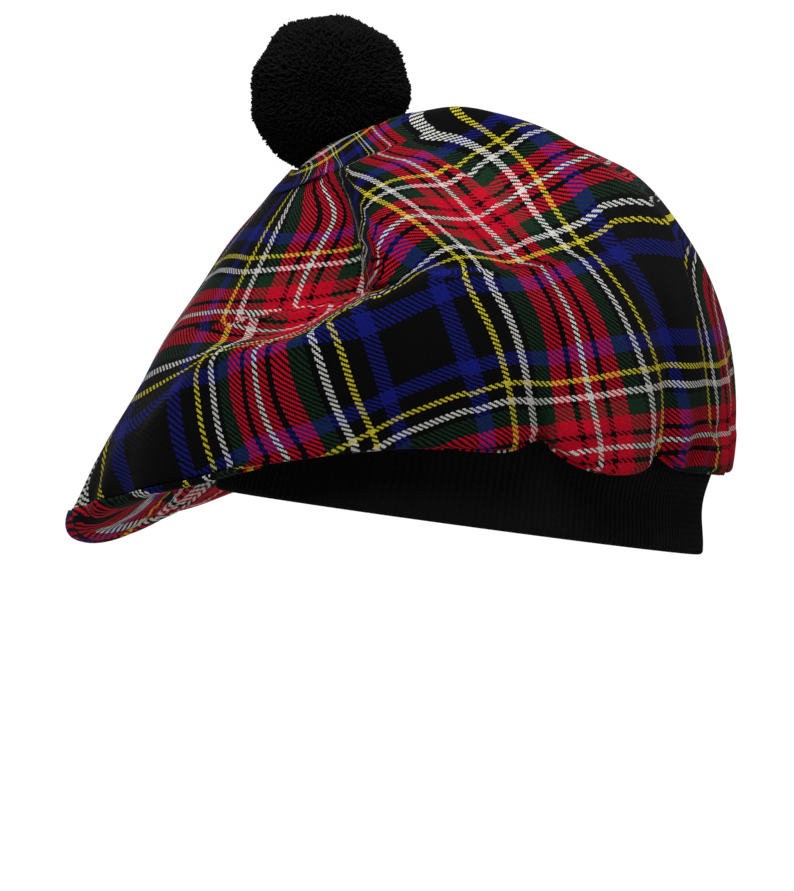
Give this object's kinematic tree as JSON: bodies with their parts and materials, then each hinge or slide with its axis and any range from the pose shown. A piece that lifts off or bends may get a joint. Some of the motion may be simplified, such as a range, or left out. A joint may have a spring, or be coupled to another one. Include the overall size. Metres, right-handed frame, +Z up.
{
  "type": "tam o shanter",
  "caption": "Large soft tartan crown drawn down over one brow on a ribbed knit head band, with a big wool pompom on top.",
  "frame": {"origin": "centre of the band's oval at its lower edge, where the head goes in", "axes": "+Z up along the band, -Y the wearer's front, +X the wearer's left; the crown droops towards -X -Y"},
  "size_m": [0.2235, 0.2385, 0.1981],
  "materials": {
    "tartan_cloth": "woollen twill in a dark tartan check of red, black, green, blue, white and yellow",
    "rib_knit": "black rib knit",
    "wool_pompom": "black cut wool yarn"
  },
  "bodies": {
    "root": {"crown_top": "tartan_cloth", "crown_under": "tartan_cloth", "knit_band": "rib_knit", "pompom": "wool_pompom"}
  },
  "joints": []
}
